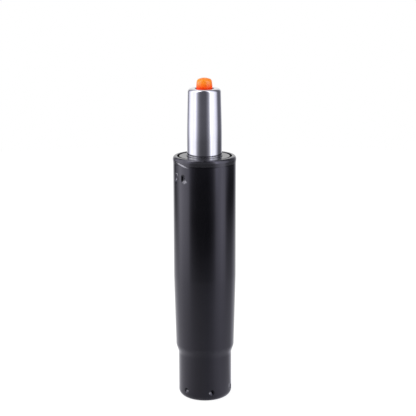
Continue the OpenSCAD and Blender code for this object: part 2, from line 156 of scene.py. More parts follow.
def mixShader(tree, fac, a, b):
    node = addNode(tree, "ShaderNodeMixShader")
    wire(tree, (fac, node.inputs["Fac"]), (a, node.inputs[1]), (b, node.inputs[2]))
    return node.outputs[0]


def splitVector(tree, vector):
    node = addNode(tree, "ShaderNodeSeparateXYZ")
    wire(tree, (vector, node.inputs[0]))
    return [node.outputs[axis] for axis in "XYZ"]


def joinVector(tree, x=0.0, y=0.0, z=0.0):
    node = addNode(tree, "ShaderNodeCombineXYZ")
    for socket, value in zip(node.inputs, (x, y, z)):
        feed(tree, socket, value)
    return node.outputs[0]


def aroundAxis(tree, vector):
    # a point's coordinates, its distance from the axis and its angle round it
    x, y, z = splitVector(tree, vector)
    return x, y, z, lengthOf(tree, x, y), mathNode(tree, "ARCTAN2", y, x)


def alongRing(tree, radius, angle, count, turn):
    # how far a point lies, along the ring, from the nearest of some evenly spaced marks
    period = over(tree, 2.0 * math.pi, count)
    half = times(tree, period, 0.5)
    angle = plus(tree, minus(tree, angle, turn), half)
    return times(tree, minus(tree, mathNode(tree, "FLOORED_MODULO", angle, period), half), radius)


def newGroup(name, kind, inputs, outputs):
    # a node group with named sockets, given as {name: kind}
    group = bpy.data.node_groups.new(name, kind)
    for way, sockets in (("INPUT", inputs), ("OUTPUT", outputs)):
        for label, socketKind in sockets.items():
            group.interface.new_socket(label, in_out=way, socket_type="NodeSocket" + socketKind)
    return group, addNode(group, "NodeGroupInput").outputs, addNode(group, "NodeGroupOutput").inputs


def startTree(owner):
    owner.use_nodes = True
    owner.node_tree.nodes.clear()
    return owner.node_tree


# studio: pale floor, softboxes left, right and high at the left
studioSetup = {
    "floor": {
        "radius": 1.20, "edges": 96, "drop": 0.0002,
        "colour": (0.37, 0.365, 0.39, 1.0),
        "glow": 0.93, "shade": (0.14, 0.14, 0.14, 1.0),      # what the camera sees: white and the shadow
        "fade": (0.08, 0.62), "across": 0.72, "behind": 0.52,     # how gloss sees the floor end
    },
    "sideBoxes": {
        "leftBox": {"turn": -82.5, "distance": 0.75, "size": (0.78, 1.10), "aim": 0.30, "glow": 3.6,
                    "tint": (0.97, 0.96, 1.0)},
        "rightBox": {"turn": 59, "distance": 0.80, "size": (0.66, 1.10), "aim": 0.30, "glow": 2.7,
                     "tint": (0.93, 0.92, 1.0)},
    },
    "highBox": {"place": (-0.55, -0.15, 1.05), "size": (0.60, 0.60), "aim": 0.15, "glow": 1.8,
                "tint": (1.0, 1.0, 1.0)},
    "fill": 0.65, "fillColour": (0.97, 0.98, 1.0, 1.0),     # world for diffuse rays
    # what gloss sees round the room, with the boxes' soft edges: degrees from the camera, brightness
    "room": ((-180, 1.0), (-160, 1.0), (-151, 0.72), (-140, 0.09), (-130, 0.11), (-121, 0.43), (-114, 0.76),
             (-106, 1.50), (-98, 1.80), (-90, 1.72), (-71, 1.48), (-62, 1.20), (-54.5, 0.46), (-47, 0.18),
             (-39, 0.11), (-31, 0.068), (-24, 0.050), (12, 0.045), (21, 0.08), (30, 0.18), (37, 0.42),
             (43.5, 0.87), (52, 1.19), (67, 1.64), (79, 1.27), (85, 0.58), (90, 0.26), (97, 0.11),
             (106, 0.06), (131, 0.03), (151, 0.50), (160, 1.0)),
    # what it sees besides near the horizon, where the boxes' edges are softer still
    "haze": ((-180, 0.02), (-145, 0.06), (-135, 0.26), (-128, 0.60), (-120, 0.74), (-112, 0.50),
             (-104, 0.15), (-75, 0.12), (-65, 0.58), (-57, 0.80), (-49, 0.53), (-41, 0.30), (-34, 0.17),
             (-27, 0.12), (-15, 0.09), (8, 0.09), (15.5, 0.15), (22.5, 0.24), (30, 0.38), (37, 1.00),
             (44.5, 1.86), (52, 0.94), (60, 0.33), (76, 0.12), (81, 0.34), (87, 0.70), (93, 0.60),
             (98, 0.32), (105, 0.14), (115, 0.15), (130, 0.16), (180, 0.02)),
    "hazeRise": (-0.215, -0.14),     # from which slope of the view the haze sets in
    # what gloss sees on the floor round the object, in the same way
    "sheen": ((-180, 1.0), (-125, 1.06), (-112, 0.96), (-98, 0.97), (-84, 0.91), (-70, 0.84), (-52, 0.66),
              (-35, 0.53), (-15, 0.45), (10, 0.45), (25, 0.56), (42, 0.77), (60, 0.87), (85, 0.76),
              (104, 0.67), (113, 0.68), (122, 0.86), (135, 0.98), (150, 1.0)),
    "tints": ((0.98, 0.97, 1.05), (0.945, 0.94, 1.06)),     # left and right
    "hazeTints": ((0.95, 0.94, 1.17), (0.95, 0.94, 1.17)),
    "white": (1.0, 1.0, 1.0, 1.0),
}


def turnRamp(t, x, y, stops, tints):
    # brightness by direction: x to the right, y away from the camera
    turn = mathNode(t, "ARCTAN2", x, times(t, y, -1.0))
    ramp = addNode(t, "ShaderNodeValToRGB")
    wire(t, (mapRange(t, turn, -math.pi, math.pi), ramp.inputs["Fac"]))
    row = ramp.color_ramp.elements
    for k, (angle, level) in enumerate(stops):
        at = 0.5 + angle / 360
        stop = row[k] if k < 2 else row.new(at)     # a new ramp has two stops
        stop.position = at
        tint = (1.0, 1.0, 1.0) if level == 1.0 else tints[angle > 0]
        stop.color = (*(level * part for part in tint), 1.0)
    return ramp.outputs["Color"]


def makeSoftbox(name, b, place, inGloss):
    data = bpy.data.lights.new(name, "AREA")
    data.shape = "RECTANGLE"
    wide, tall = b["size"]
    data.size = wide
    data.size_y = tall
    data.energy = b["glow"] * math.pi * wide * tall
    data.color = b["tint"]
    lamp = bpy.data.objects.new(name, data)
    lamp.location = place
    lamp.rotation_euler = (Vector((0.0, 0.0, b["aim"])) - Vector(place)).to_track_quat("-Z", "Y").to_euler()
    lamp.visible_camera = False
    lamp.visible_glossy = inGloss
    scene.collection.objects.link(lamp)


def makeFloor(s, f):
    mesh = bpy.data.meshes.new("studioFloor")
    bm = bmesh.new()
    bmesh.ops.create_circle(bm, cap_ends=True, segments=f["edges"], radius=f["radius"])
    bm.to_mesh(mesh)
    bm.free()
    floor = bpy.data.objects.new("studioFloor", mesh)
    floor.location.z = -f["drop"]
    scene.collection.objects.link(floor)
    material = bpy.data.materials.new("paleFloor")
    t = startTree(material)
    path = addNode(t, "ShaderNodeLightPath").outputs
    x, y, _ = splitVector(t, addNode(t, "ShaderNodeTexCoord").outputs["Object"])
    deep = greater(t, times(t, y, -1.0), times(t, y, f["behind"]))
    fade = mapRange(t, lengthOf(t, times(t, x, f["across"]), deep), *f["fade"], smooth=True)
    sheen = addNode(t, "ShaderNodeEmission")
    clear = addNode(t, "ShaderNodeBsdfTransparent")
    matte = addNode(t, "ShaderNodeBsdfDiffuse", {"Color": f["colour"]})
    shade = addNode(t, "ShaderNodeBsdfDiffuse", {"Color": f["shade"]})
    white = addNode(t, "ShaderNodeEmission", {"Strength": f["glow"]})
    shown = addNode(t, "ShaderNodeAddShader")
    out = addNode(t, "ShaderNodeOutputMaterial")
    wire(t, (turnRamp(t, x, y, s["sheen"], s["tints"]), sheen.inputs["Color"]),
         (shade.outputs[0], shown.inputs[0]), (white.outputs[0], shown.inputs[1]))
    gloss = mixShader(t, fade, sheen.outputs[0], clear.outputs[0])
    rest = mixShader(t, path["Is Glossy Ray"], matte.outputs[0], gloss)
    wire(t, (mixShader(t, path["Is Camera Ray"], rest, shown.outputs[0]), out.inputs["Surface"]))
    mesh.materials.append(material)


def makeWorld(s):
    world = bpy.data.worlds.new("studioWorld")
    t = startTree(world)
    path = addNode(t, "ShaderNodeLightPath").outputs
    x, y, z = splitVector(t, addNode(t, "ShaderNodeTexCoord").outputs["Generated"])
    # metal sees the white backdrop behind the object, the boxes' faces and a dark room towards the camera
    around = turnRamp(t, x, y, s["room"], s["tints"])
    haze = turnRamp(t, x, y, s["haze"], s["hazeTints"])
    around = mixColour(t, mapRange(t, z, *s["hazeRise"]), around, haze, "ADD")
    plain = addNode(t, "ShaderNodeBackground", {"Color": s["fillColour"], "Strength": s["fill"]})
    room = addNode(t, "ShaderNodeBackground", {"Color": s["white"]})
    white = addNode(t, "ShaderNodeBackground", {"Color": s["white"]})
    out = addNode(t, "ShaderNodeOutputWorld")
    wire(t, (around, room.inputs["Color"]))
    seen = greater(t, path["Is Glossy Ray"], path["Is Transmission Ray"])
    rest = mixShader(t, seen, plain.outputs[0], room.outputs[0])
    wire(t, (mixShader(t, path["Is Camera Ray"], rest, white.outputs[0]), out.inputs["Surface"]))
    scene.world = world


def makeStudio(s):
    makeFloor(s, s["floor"])
    makeWorld(s)
    for name, b in s["sideBoxes"].items():
        a = math.radians(b["turn"])
        place = (math.sin(a) * b["distance"], -math.cos(a) * b["distance"], b["aim"])
        makeSoftbox(name, b, place, False)     # gloss sees the room's ramp in their stead
    makeSoftbox("highBox", s["highBox"], s["highBox"]["place"], True)


makeStudio(studioSetup)
print("studio lit")


# shared shader groups: each puts out masks and heights only
groupSetup = {
    "cloudScale": 0.045, "cloud": (0.3, 0.7),
    "ringWobble": 0.6, "ringHaze": (0.35, 0.7),
    "rubPatch": (0.42, 0.68),
    "scratches": ((0.35, (900.0, 900.0, 26.0)), (-1.1, (700.0, 700.0, 40.0))),     # tilt, scale
    "scratchLean": 0.4, "scratchLine": (0.715, 0.755), "dustSize": (0.10, 0.04),
    "spotSoft": (1.0, 0.3), "spotGrain": (0.25, 0.45),
}


def noiseOf(g, vector, scale, detail, roughness):
    node = addNode(g, "ShaderNodeTexNoise", {"Detail": detail, "Roughness": roughness})
    wire(g, (vector, node.inputs["Vector"]))
    feed(g, node.inputs["Scale"], scale)
    return node.outputs["Fac"]


def groupRipple(s):
    # the fine ripple of a sprayed or moulded skin, and its larger cloudiness
    g, i, o = newGroup("skinRipple", "ShaderNodeTree", {"Vector": "Vector", "Size": "Float"},
                       {"Height": "Float", "Cloud": "Float"})
    scale = over(g, 1.0, i["Size"])
    fine = noiseOf(g, i["Vector"], scale, 2.0, 0.45)
    cloud = noiseOf(g, i["Vector"], times(g, scale, s["cloudScale"]), 3.0, 0.55)
    wire(g, (fine, o["Height"]), (mapRange(g, cloud, *s["cloud"]), o["Cloud"]))
    return g


def groupTurned(s):
    # fine rings that a lathe, a grinder or a polishing belt leaves round the axis
    g, i, o = newGroup("turnedRings", "ShaderNodeTree", {"Vector": "Vector", "Pitch": "Float"},
                       {"Rings": "Float", "Haze": "Float"})
    _, _, z, radius, turn = aroundAxis(g, i["Vector"])
    along = over(g, plus(g, z, radius), i["Pitch"])
    swing, sway = (times(g, mathNode(g, wave, turn), s["ringWobble"]) for wave in ("SINE", "COSINE"))
    haze = noiseOf(g, i["Vector"], 55.0, 4.0, 0.6)
    wire(g, (noiseOf(g, joinVector(g, along, swing, sway), 1.0, 3.0, 0.6), o["Rings"]),
         (mapRange(g, haze, *s["ringHaze"]), o["Haze"]))
    return g


def groupEdgeRub(s):
    # where a rounded edge is rubbed: the piece's own edge attribute, broken up
    g, i, o = newGroup("edgeRub", "ShaderNodeTree",
                       {"Vector": "Vector", "Edge": "Float", "Amount": "Float"}, {"Mask": "Float"})
    patch = noiseOf(g, i["Vector"], 420.0, 4.0, 0.65)
    broken = mapRange(g, patch, *s["rubPatch"], smooth=True)
    wire(g, (times(g, times(g, i["Edge"], broken), i["Amount"], clamp=True), o["Mask"]))
    return g


def groupScuffs(s):
    # hair scratches in two directions, and settled dust
    g, i, o = newGroup("hairScuffs", "ShaderNodeTree", {"Vector": "Vector"},
                       {"Scratch": "Float", "Dust": "Float"})
    lines = []
    for tilt, scale in s["scratches"]:
        turned = addNode(g, "ShaderNodeMapping", {"Rotation": (tilt, tilt * s["scratchLean"], 0.0),
                                                  "Scale": scale})
        wire(g, (i["Vector"], turned.inputs["Vector"]))
        lines.append(mapRange(g, noiseOf(g, turned.outputs[0], 1.0, 1.0, 0.4), *s["scratchLine"]))
    dust = addNode(g, "ShaderNodeTexVoronoi", {"Scale": 750.0, "Randomness": 1.0})
    wire(g, (i["Vector"], dust.inputs["Vector"]), (greater(g, *lines), o["Scratch"]),
         (mapRange(g, dust.outputs["Distance"], *s["dustSize"]), o["Dust"]))
    return g


spotNames = ("Count", "Turn", "Height", "Wide", "Tall", "Lean", "Amount")


def groupRingSpots(s):
    # soft oval spots, evenly round the axis
    g, i, o = newGroup("ringSpots", "ShaderNodeTree",
                       {"Vector": "Vector", **{name: "Float" for name in spotNames}}, {"Mask": "Float"})
    _, _, z, radius, angle = aroundAxis(g, i["Vector"])
    along = alongRing(g, radius, angle, i["Count"], i["Turn"])
    level = plus(g, i["Height"], times(g, along, i["Lean"]))
    away = lengthOf(g, over(g, along, i["Wide"]), over(g, minus(g, z, level), i["Tall"]))
    spot = mapRange(g, away, *s["spotSoft"], smooth=True)
    broken = mapRange(g, noiseOf(g, i["Vector"], 900.0, 2.0, 0.5), *s["spotGrain"])
    wire(g, (times(g, times(g, spot, broken), i["Amount"]), o["Mask"]))
    return g


skinRipple, turnedRings = groupRipple(groupSetup), groupTurned(groupSetup)
edgeRub, hairScuffs = groupEdgeRub(groupSetup), groupScuffs(groupSetup)
ringSpots = groupRingSpots(groupSetup)


# material helpers
def startMaterial(name):
    material = bpy.data.materials.new(name)
    t = startTree(material)
    out = addNode(t, "ShaderNodeOutputMaterial")
    skin = addNode(t, "ShaderNodeBsdfPrincipled")
    wire(t, (skin.outputs[0], out.inputs["Surface"]))
    return material, t, skin, addNode(t, "ShaderNodeTexCoord").outputs["Object"]


def useGroup(t, group, vector, values=None):
    node = addNode(t, "ShaderNodeGroup", values, node_tree=group)
    wire(t, (vector, node.inputs["Vector"]))
    return node.outputs


def attribute(t, name):
    return addNode(t, "ShaderNodeAttribute", attribute_name=name).outputs["Fac"]


def rubbedEdge(t, vector, amount):
    node = addNode(t, "ShaderNodeGroup", {"Amount": amount}, node_tree=edgeRub)
    wire(t, (vector, node.inputs["Vector"]), (attribute(t, "edgeShine"), node.inputs["Edge"]))
    return node.outputs["Mask"]


def bump(t, height, strength, distance, before=None):
    node = addNode(t, "ShaderNodeBump", {"Strength": strength, "Distance": distance})
    wire(t, (height, node.inputs["Height"]))
    if before is not None:
        wire(t, (before, node.inputs["Normal"]))
    return node.outputs["Normal"]


def dress(t, skin, tone, rough, normal, levels):
    wire(t, (tone, skin.inputs["Base Color"]), (rough, skin.inputs["Roughness"]),
         (normal, skin.inputs["Normal"]))
    for name, value in levels.items():
        skin.inputs[name].default_value = value


# the finishes that show; relief is a bump's strength and its distance in m
columnPaintSetup = {
    "colour": (0.0018, 0.0018, 0.0023), "dusty": (0.0038, 0.0038, 0.0047),
    "dust": (0.05, 0.05, 0.052), "dustShare": 0.25,
    "rubbed": (0.05, 0.05, 0.055), "rub": 0.55,
    "gloss": 0.06, "dull": 0.09, "scratchDull": 0.07, "rubPolish": 0.08, "markDull": 0.05,
    "ripple": 0.0011, "relief": (0.03, 0.00012),
    # painted sheen: the rolled rim band is painted a lighter grey than the rest of the column
    "rolled": ((0.1944, 0.1950), (0.1994, 0.1986)), "rimSheenTone": (0.019, 0.019, 0.021),     # the rim
    # painted highlights, as light, partly metallic spots where the marks catch the light: count, turn,
    # height, half width and half height in mm, lean, amount
    "spots": (
        (2, -136, 195.1, 8.0, 0.95, -0.25, 0.72),     # painted highlight along the crease over the dents
        (2, -129.2, 182.2, 3.2, 1.9, 0.0, 0.52),      # painted highlight at the lower end of one dent
        (2, -150.8, 186.8, 1.5, 1.5, 0.0, 1.0),       # painted highlights at the other's ends
        (2, -154.5, 182.8, 1.5, 1.3, 0.0, 0.62),
        (3, -79, 7.75, 1.3, 1.4, 0.0, 0.70),          # painted highlights beside the dimples
        (3, -134.8, 7.4, 1.7, 1.0, 0.0, 0.42),
        (1, -23.5, 9.6, 1.1, 2.9, 0.12, 0.60)),
    # painted shade: where a mark's bottom is painted dark
    "shadePits": (
        (3, -72.5, 7.8, 1.35, 1.6, 0.0, 1.0), (3, -136.7, 9.0, 1.25, 1.1, 0.0, 1.0),
        (1, -13.5, 9.0, 1.7, 1.8, 0.0, 1.0), (2, -147, 183.6, 1.0, 1.4, 0.0, 0.8),
        (2, -153, 180.3, 1.7, 1.5, 0.0, 0.8)),
    # the painted highlights' light colour and metal share, then the painted shade's near-black colour
    "highlightTone": (0.42, 0.42, 0.44), "highlightMetallic": 0.35, "deep": (0.0008, 0.0008, 0.001),
    "levels": {"Specular IOR Level": 0.68, "Specular Tint": (0.90, 0.88, 1.0, 1.0)},
}


def spotMask(t, vector, rows):
    units = (1.0, math.pi / 180, mm, mm, mm, 1.0, 1.0)
    mask = None
    for row in rows:
        values = {name: value * unit for name, value, unit in zip(spotNames, row, units)}
        spot = useGroup(t, ringSpots, vector, values)["Mask"]
        mask = spot if mask is None else greater(t, mask, spot)
    return mask


def makeColumnPaint(s):
    # satin black powder coat, with painted highlights and painted shade round the marks and a painted sheen
    # on the rim band
    m, t, skin, vector = startMaterial("columnPaint")
    peel = useGroup(t, skinRipple, vector, {"Size": s["ripple"]})
    scuff = useGroup(t, hairScuffs, vector)
    edge = rubbedEdge(t, vector, s["rub"])
    tone = mixColour(t, peel["Cloud"], s["colour"], s["dusty"])
    tone = mixColour(t, times(t, scuff["Dust"], s["dustShare"]), tone, s["dust"])
    tone = mixColour(t, edge, tone, s["rubbed"])
    rough = mapRange(t, peel["Cloud"], 0.0, 1.0, s["gloss"], s["dull"])
    rough = plus(t, rough, times(t, scuff["Scratch"], s["scratchDull"]))
    rough = minus(t, rough, times(t, edge, s["rubPolish"]))
    rough = plus(t, rough, times(t, attribute(t, "pressMark"), s["markDull"]))
    z = splitVector(t, vector)[2]
    # painted sheen: the rolled rim band is painted lighter
    above, below = (mapRange(t, z, *span, smooth=True) for span in s["rolled"])
    tone = mixColour(t, times(t, above, below), tone, s["rimSheenTone"])
    # the rub spots are painted highlights, light and partly metallic; the pits are painted shade,
    # near-black metal in the marks' bottoms
    rub, shadePit = spotMask(t, vector, s["spots"]), spotMask(t, vector, s["shadePits"])
    tone = mixColour(t, shadePit, mixColour(t, rub, tone, s["highlightTone"]), s["deep"])
    wire(t, (greater(t, times(t, rub, s["highlightMetallic"]), shadePit), skin.inputs["Metallic"]))
    dress(t, skin, tone, rough, bump(t, peel["Height"], *s["relief"]), s["levels"])
    return m


tubeChromeSetup = {
    "colour": (0.59, 0.595, 0.605), "haze": (0.54, 0.545, 0.56), "gloss": 0.085, "dull": 0.125,
    "scratchDull": 0.06, "pitch": 0.00035, "relief": (0.05, 0.00004), "levels": {"Metallic": 1.0},
}


def makeTubeChrome(s):
    # polished chrome with the faint rings of its polishing belt
    m, t, skin, vector = startMaterial("tubeChrome")
    rings = useGroup(t, turnedRings, vector, {"Pitch": s["pitch"]})
    scuff = useGroup(t, hairScuffs, vector)
    tone = mixColour(t, rings["Haze"], s["colour"], s["haze"])
    rough = mapRange(t, rings["Haze"], 0.0, 1.0, s["gloss"], s["dull"])
    rough = plus(t, rough, times(t, scuff["Scratch"], s["scratchDull"]))
    dress(t, skin, tone, rough, bump(t, rings["Rings"], *s["relief"]), s["levels"])
    return m


buttonPlasticSetup = {
    # painted shade: the foot's colour is darker and redder than the top's
    "top": (0.90, 0.235, 0.010), "low": (0.97, 0.030, 0.002), "shadeRise": (0.2533, 0.2582),
    "cloudy": (0.80, 0.09, 0.008), "cloudShare": 0.12, "rubbed": (1.0, 0.30, 0.06), "rub": 0.35,
    "gloss": 0.26, "dull": 0.34, "rubPolish": 0.10, "ripple": 0.0005, "relief": (0.05, 0.00001),
    "polished": ((0.2605, 0.2585), (0.2540, 0.2590)),     # the side is polished, the top dull
    "levels": {"Coat Roughness": 0.07, "Specular IOR Level": 0.1},
}


def makeButtonPlastic(s):
    # moulded orange, with painted shade: painted darker and redder towards its foot, lighter towards its
    # top
    m, t, skin, vector = startMaterial("buttonPlastic")
    peel = useGroup(t, skinRipple, vector, {"Size": s["ripple"]})
    edge = rubbedEdge(t, vector, s["rub"])
    z = splitVector(t, vector)[2]
    # painted shade: the colour goes from the darker foot to the lighter top by height
    tone = mixColour(t, mapRange(t, z, *s["shadeRise"]), s["low"], s["top"])
    tone = mixColour(t, times(t, peel["Cloud"], s["cloudShare"]), tone, s["cloudy"])
    tone = mixColour(t, edge, tone, s["rubbed"])
    rough = mapRange(t, peel["Cloud"], 0.0, 1.0, s["gloss"], s["dull"])
    rough = minus(t, rough, times(t, edge, s["rubPolish"]))
    above, below = (mapRange(t, z, *span, smooth=True) for span in s["polished"])
    wire(t, (times(t, above, below), skin.inputs["Coat Weight"]))
    dress(t, skin, tone, rough, bump(t, peel["Height"], *s["relief"]), s["levels"])
    return m


bushPlasticSetup = {
    "colour": (0.006, 0.006, 0.007), "cloudy": (0.011, 0.011, 0.013), "rubbed": (0.12, 0.12, 0.125),
    "rub": 0.5, "gloss": 0.07, "dull": 0.12, "ripple": 0.0008, "relief": (0.04, 0.00005),
    "pitch": 0.0006, "ringRelief": (0.05, 0.00003),
    "levels": {"Specular IOR Level": 0.40, "Specular Tint": (0.96, 0.94, 1.0, 1.0)},
}


def makeBushPlastic(s):
    # moulded grey bush, faced off on a lathe
    m, t, skin, vector = startMaterial("bushPlastic")
    peel = useGroup(t, skinRipple, vector, {"Size": s["ripple"]})
    rings = useGroup(t, turnedRings, vector, {"Pitch": s["pitch"]})
    tone = mixColour(t, peel["Cloud"], s["colour"], s["cloudy"])
    tone = mixColour(t, rubbedEdge(t, vector, s["rub"]), tone, s["rubbed"])
    rough = mapRange(t, rings["Haze"], 0.0, 1.0, s["gloss"], s["dull"])
    turned = bump(t, rings["Rings"], *s["ringRelief"])
    dress(t, skin, tone, rough, bump(t, peel["Height"], *s["relief"], turned), s["levels"])
    return m


# moulded black plastic and rubber, by slot: name, two colours, gloss, dull, ripple, relief, shine
darkSkinSetup = {
    "dust": (0.06, 0.06, 0.06), "dustShare": 0.3, "reliefDepth": 0.0001,
    "kinds": {
        "cap_plastic": ("capPlastic", (0.005, 0.005, 0.005), (0.009, 0.009, 0.009),
                        0.5, 0.65, 0.0006, 0.10, 0.1),
        "seal_rubber": ("sealRubber", (0.010, 0.010, 0.011), (0.017, 0.017, 0.018),
                        0.55, 0.72, 0.0004, 0.16, 0.5),
    },
}


def makeDarkSkin(s, name, colour, second, gloss, dull, size, relief, shine):
    m, t, skin, vector = startMaterial(name)
    peel = useGroup(t, skinRipple, vector, {"Size": size})
    scuff = useGroup(t, hairScuffs, vector)
    tone = mixColour(t, peel["Cloud"], colour, second)
    tone = mixColour(t, times(t, scuff["Dust"], s["dustShare"]), tone, s["dust"])
    rough = mapRange(t, peel["Cloud"], 0.0, 1.0, gloss, dull)
    normal = bump(t, peel["Height"], relief, s["reliefDepth"])
    dress(t, skin, tone, rough, normal, {"Specular IOR Level": shine})
    return m


# turned, ground or stamped metal, by slot: name, two colours, gloss, dull, pitch of the rings, relief
metalSetup = {
    "ringShare": 0.35, "ringSpan": (0.3, 0.7), "scratchDull": 0.08, "reliefDepth": 0.00008,
    "kinds": {
        "plate_steel": ("plateSteel", (0.46, 0.46, 0.45), (0.36, 0.37, 0.38), 0.28, 0.42, 0.0007, 0.12),
        "washer_steel": ("washerSteel", (0.56, 0.56, 0.55), (0.45, 0.46, 0.47), 0.22, 0.36, 0.0004, 0.12),
        "bearing_steel": ("bearingSteel", (0.66, 0.66, 0.67), (0.58, 0.59, 0.60), 0.10, 0.18, 0.0002, 0.05),
        "rod_steel": ("rodSteel", (0.62, 0.63, 0.64), (0.55, 0.56, 0.58), 0.12, 0.20, 0.0002, 0.05),
        "clip_steel": ("clipSteel", (0.075, 0.075, 0.08), (0.05, 0.05, 0.055), 0.30, 0.45, 0.0005, 0.12),
        "light_alloy": ("lightAlloy", (0.68, 0.69, 0.70), (0.60, 0.61, 0.63), 0.22, 0.34, 0.0003, 0.12),
        "valve_brass": ("valveBrass", (0.66, 0.50, 0.24), (0.58, 0.42, 0.18), 0.18, 0.30, 0.0003, 0.12),
        "cage_brass": ("cageBrass", (0.62, 0.45, 0.17), (0.54, 0.37, 0.12), 0.24, 0.36, 0.0005, 0.12),
    },
}


def makeTurnedMetal(s, name, colour, second, gloss, dull, pitch, relief):
    m, t, skin, vector = startMaterial(name)
    rings = useGroup(t, turnedRings, vector, {"Pitch": pitch})
    scuff = useGroup(t, hairScuffs, vector)
    tone = mixColour(t, rings["Haze"], colour, second)
    tone = mixColour(t, times(t, rings["Rings"], s["ringShare"]), tone, second, "MULTIPLY")
    rough = mapRange(t, rings["Rings"], *s["ringSpan"], gloss, dull)
    rough = plus(t, rough, times(t, scuff["Scratch"], s["scratchDull"]))
    normal = bump(t, rings["Rings"], relief, s["reliefDepth"])
    dress(t, skin, tone, rough, normal, {"Metallic": 1.0})
    return m


finishes = {
    "column_paint": makeColumnPaint(columnPaintSetup),
    "tube_chrome": makeTubeChrome(tubeChromeSetup),
    "button_plastic": makeButtonPlastic(buttonPlasticSetup),
    "bush_plastic": makeBushPlastic(bushPlasticSetup),
}
for slot, row in darkSkinSetup["kinds"].items():
    finishes[slot] = makeDarkSkin(darkSkinSetup, *row)
for slot, row in metalSetup["kinds"].items():
    finishes[slot] = makeTurnedMetal(metalSetup, *row)
slotOf = {row["node"]: row["material_slot"] for row in frame["record"]["subparts"]}
for name, obj in nodes.items():
    for place in obj.material_slots:
        place.material = finishes[slotOf[name]]
print("finishes:", len(finishes))


# geometry node trees
meshSetup = {
    "merge": 1e-6, "sliver": 1e-13,     # distance and area, in m
    "ribVertices": {"Vertices X": 3, "Vertices Y": 3, "Vertices Z": 9},
}


def newTree(name, inputs):
    shape = {"Geometry": "Geometry"}
    return newGroup(name, "GeometryNodeTree", {**shape, **inputs, "Finish": "Material"}, shape)


def endTree(g, shape, i, o):
    real = addNode(g, "GeometryNodeRealizeInstances")
    paint = addNode(g, "GeometryNodeSetMaterial")
    wire(g, (shape, real.inputs["Geometry"]), (real.outputs[0], paint.inputs["Geometry"]),
         (i["Finish"], paint.inputs["Material"]), (paint.outputs[0], o["Geometry"]))
    return g


def storeValue(g, name, shape, value):
    node = addNode(g, "GeometryNodeStoreNamedAttribute", {"Name": name}, data_type="FLOAT", domain="POINT")
    wire(g, (shape, node.inputs["Geometry"]), (value, node.inputs["Value"]))
    return node.outputs[0]


def sampleRow(g, kind, shape, value, row):
    node = addNode(g, "GeometryNodeSampleIndex", data_type=kind, domain="POINT")
    wire(g, (shape, node.inputs["Geometry"]), (value, node.inputs["Value"]), (row, node.inputs["Index"]))
    return node.outputs["Value"]


def treeTurnedBody():
    # turns a profile curve, drawn in the XZ plane, about the Z axis
    g, i, o = newTree("turnedBody", {"Profile": "Object", "Around": "Int", "Rows": "Int"})
    line = addNode(g, "GeometryNodeObjectInfo", transform_space="ORIGINAL")
    sheet = addNode(g, "GeometryNodeMeshGrid", {"Size X": 1.0, "Size Y": 1.0})
    spot = addNode(g, "GeometryNodeInputPosition").outputs[0]
    wire(g, (i["Profile"], line.inputs["Object"]), (i["Rows"], sheet.inputs["Vertices Y"]),
         (plus(g, i["Around"], 1.0), sheet.inputs["Vertices X"]))
    across, along, _ = splitVector(g, spot)
    turn = times(g, plus(g, across, 0.5), 2.0 * math.pi)
    row = mathNode(g, "ROUND", times(g, plus(g, along, 0.5), minus(g, i["Rows"], 1.0)))
    profile = line.outputs["Geometry"]
    radius, _, height = splitVector(g, sampleRow(g, "FLOAT_VECTOR", profile, spot, row))
    shine = sampleRow(g, "FLOAT", profile, addNode(g, "GeometryNodeInputRadius").outputs[0], row)
    placed = joinVector(g, times(g, radius, mathNode(g, "COSINE", turn)),
                        times(g, radius, mathNode(g, "SINE", turn)), height)
    move = addNode(g, "GeometryNodeSetPosition")
    close = addNode(g, "GeometryNodeMergeByDistance", {"Distance": meshSetup["merge"]})
    smooth = addNode(g, "GeometryNodeSetShadeSmooth")
    wire(g, (storeValue(g, "edgeShine", sheet.outputs["Mesh"], shine), move.inputs["Geometry"]),
         (placed, move.inputs["Position"]), (move.outputs[0], close.inputs["Geometry"]),
         (close.outputs[0], smooth.inputs["Geometry"]))
    return endTree(g, smooth.outputs[0], i, o)


def treePressedMarks():
    # presses a ring of upright oval marks into the outside of a turned body
    sizes = {name: "Float" for name in ("Turn", "Height", "Reach", "Straight", "Depth", "Skin")}
    g, i, o = newTree("pressedMarks", {"Count": "Int", **sizes})
    x, y, z, radius, angle = aroundAxis(g, addNode(g, "GeometryNodeInputPosition").outputs[0])
    across = alongRing(g, radius, angle, i["Count"], i["Turn"])
    up = mathNode(g, "ABSOLUTE", minus(g, z, i["Height"]))
    up = greater(g, minus(g, up, times(g, i["Straight"], 0.5)), 0.0)
    share = over(g, lengthOf(g, across, up), i["Reach"])
    bowl = minus(g, 1.0, times(g, share, share), clamp=True)
    pressed = times(g, bowl, mathNode(g, "GREATER_THAN", radius, i["Skin"]))
    sink = over(g, times(g, pressed, times(g, i["Depth"], -1.0)), radius)
    before = addNode(g, "GeometryNodeInputNamedAttribute", {"Name": "pressMark"}, data_type="FLOAT")
    marked = greater(g, pressed, before.outputs["Attribute"])
    move = addNode(g, "GeometryNodeSetPosition")
    wire(g, (storeValue(g, "pressMark", i["Geometry"], marked), move.inputs["Geometry"]),
         (joinVector(g, times(g, x, sink), times(g, y, sink)), move.inputs["Offset"]))
    return endTree(g, move.outputs[0], i, o)


